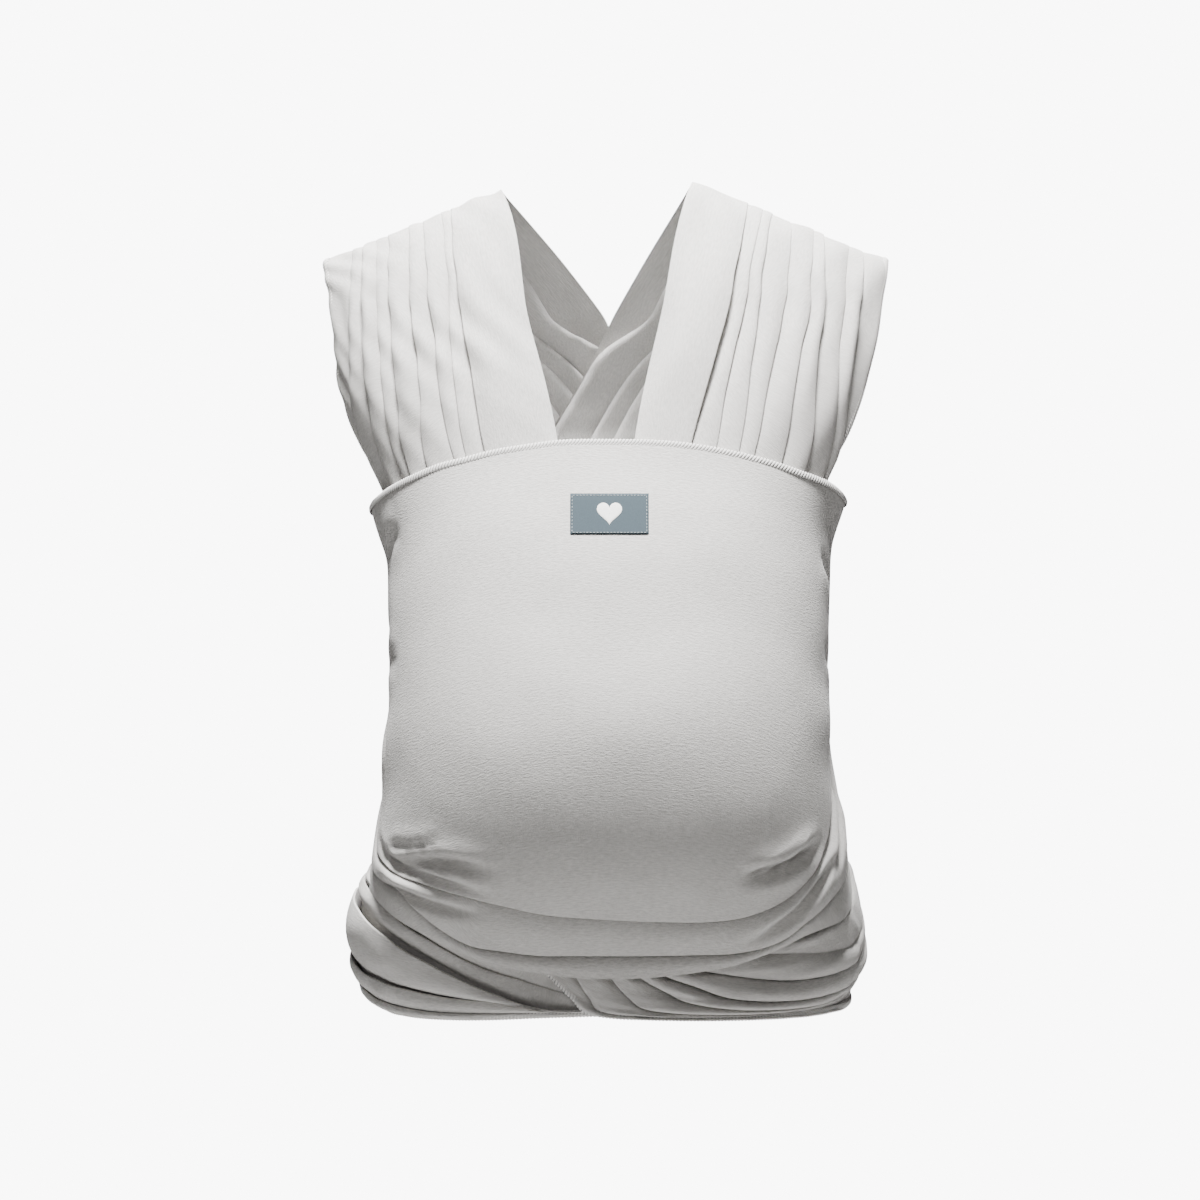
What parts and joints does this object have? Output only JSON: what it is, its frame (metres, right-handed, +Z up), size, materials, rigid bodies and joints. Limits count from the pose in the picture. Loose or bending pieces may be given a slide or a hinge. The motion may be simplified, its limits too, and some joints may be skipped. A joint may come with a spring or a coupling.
{
  "type": "baby wrap sling",
  "caption": "Stretch jersey baby wrap tied as worn: crossed back passes, pleated shoulder passes, a bulging front pouch, hip bands and a knot with hanging tails.",
  "frame": {"origin": "on the wearer's vertical axis, level with the wrap's lowest edge", "axes": "+Z up, -Y the way the wearer faces, +X the wearer's left"},
  "size_m": [0.4086, 0.3318, 0.6098],
  "materials": {
    "jersey": "knitted cotton with a little elastane, light stone grey, matt",
    "edge_thread": "overlocked polyester thread, light stone grey",
    "label": "woven slate-grey satin label",
    "label_mark": "white woven thread",
    "label_thread": "grey sewing thread",
    "care_tape": "plain white satin tape"
  },
  "bodies": {
    "worn_wrap": {"side_pass_left": "jersey", "side_pass_right": "jersey", "chest_pass_left": "jersey", "chest_pass_right": "jersey", "chest_hem_left": "edge_thread", "chest_hem_right": "edge_thread", "shoulder_pass_left": "jersey", "shoulder_pass_right": "jersey", "shoulder_hem_left": "edge_thread", "shoulder_hem_right": "edge_thread", "back_pass_left": "jersey", "back_pass_right": "jersey", "back_hem_left": "edge_thread", "back_hem_right": "edge_thread", "waist_pass_left": "jersey", "waist_pass_right": "jersey", "waist_hem_left": "edge_thread", "waist_hem_right": "edge_thread", "knot_strand_left": "jersey", "knot_strand_right": "jersey"},
    "pouch": {"pouch_panel": "jersey", "pouch_top_hem": "edge_thread", "label_patch": "label", "label_heart": "label_mark", "label_stitching": "label_thread"},
    "left_tail": {"tail_left": "jersey", "tail_hem_left": "edge_thread", "care_label": "care_tape"},
    "right_tail": {"tail_right": "jersey", "tail_hem_right": "edge_thread"}
  },
  "joints": [
    {"name": "pouch_open", "type": "hinge", "parent": "worn_wrap", "child": "pouch", "pos_m": [0, -0.121, 0.036], "axis": [1, 0, 0], "range_deg": [0, 12], "stiffness_Nm_per_rad": 20, "springref_deg": -1.15},
    {"name": "left_tail_swing", "type": "hinge", "parent": "worn_wrap", "child": "left_tail", "pos_m": [0.074, 0.118, 0.0777], "axis": [1, 0, 0], "range_deg": [0, 60]},
    {"name": "right_tail_swing", "type": "hinge", "parent": "worn_wrap", "child": "right_tail", "pos_m": [-0.074, 0.135, 0.0777], "axis": [1, 0, 0], "range_deg": [0, 60]}
  ]
}
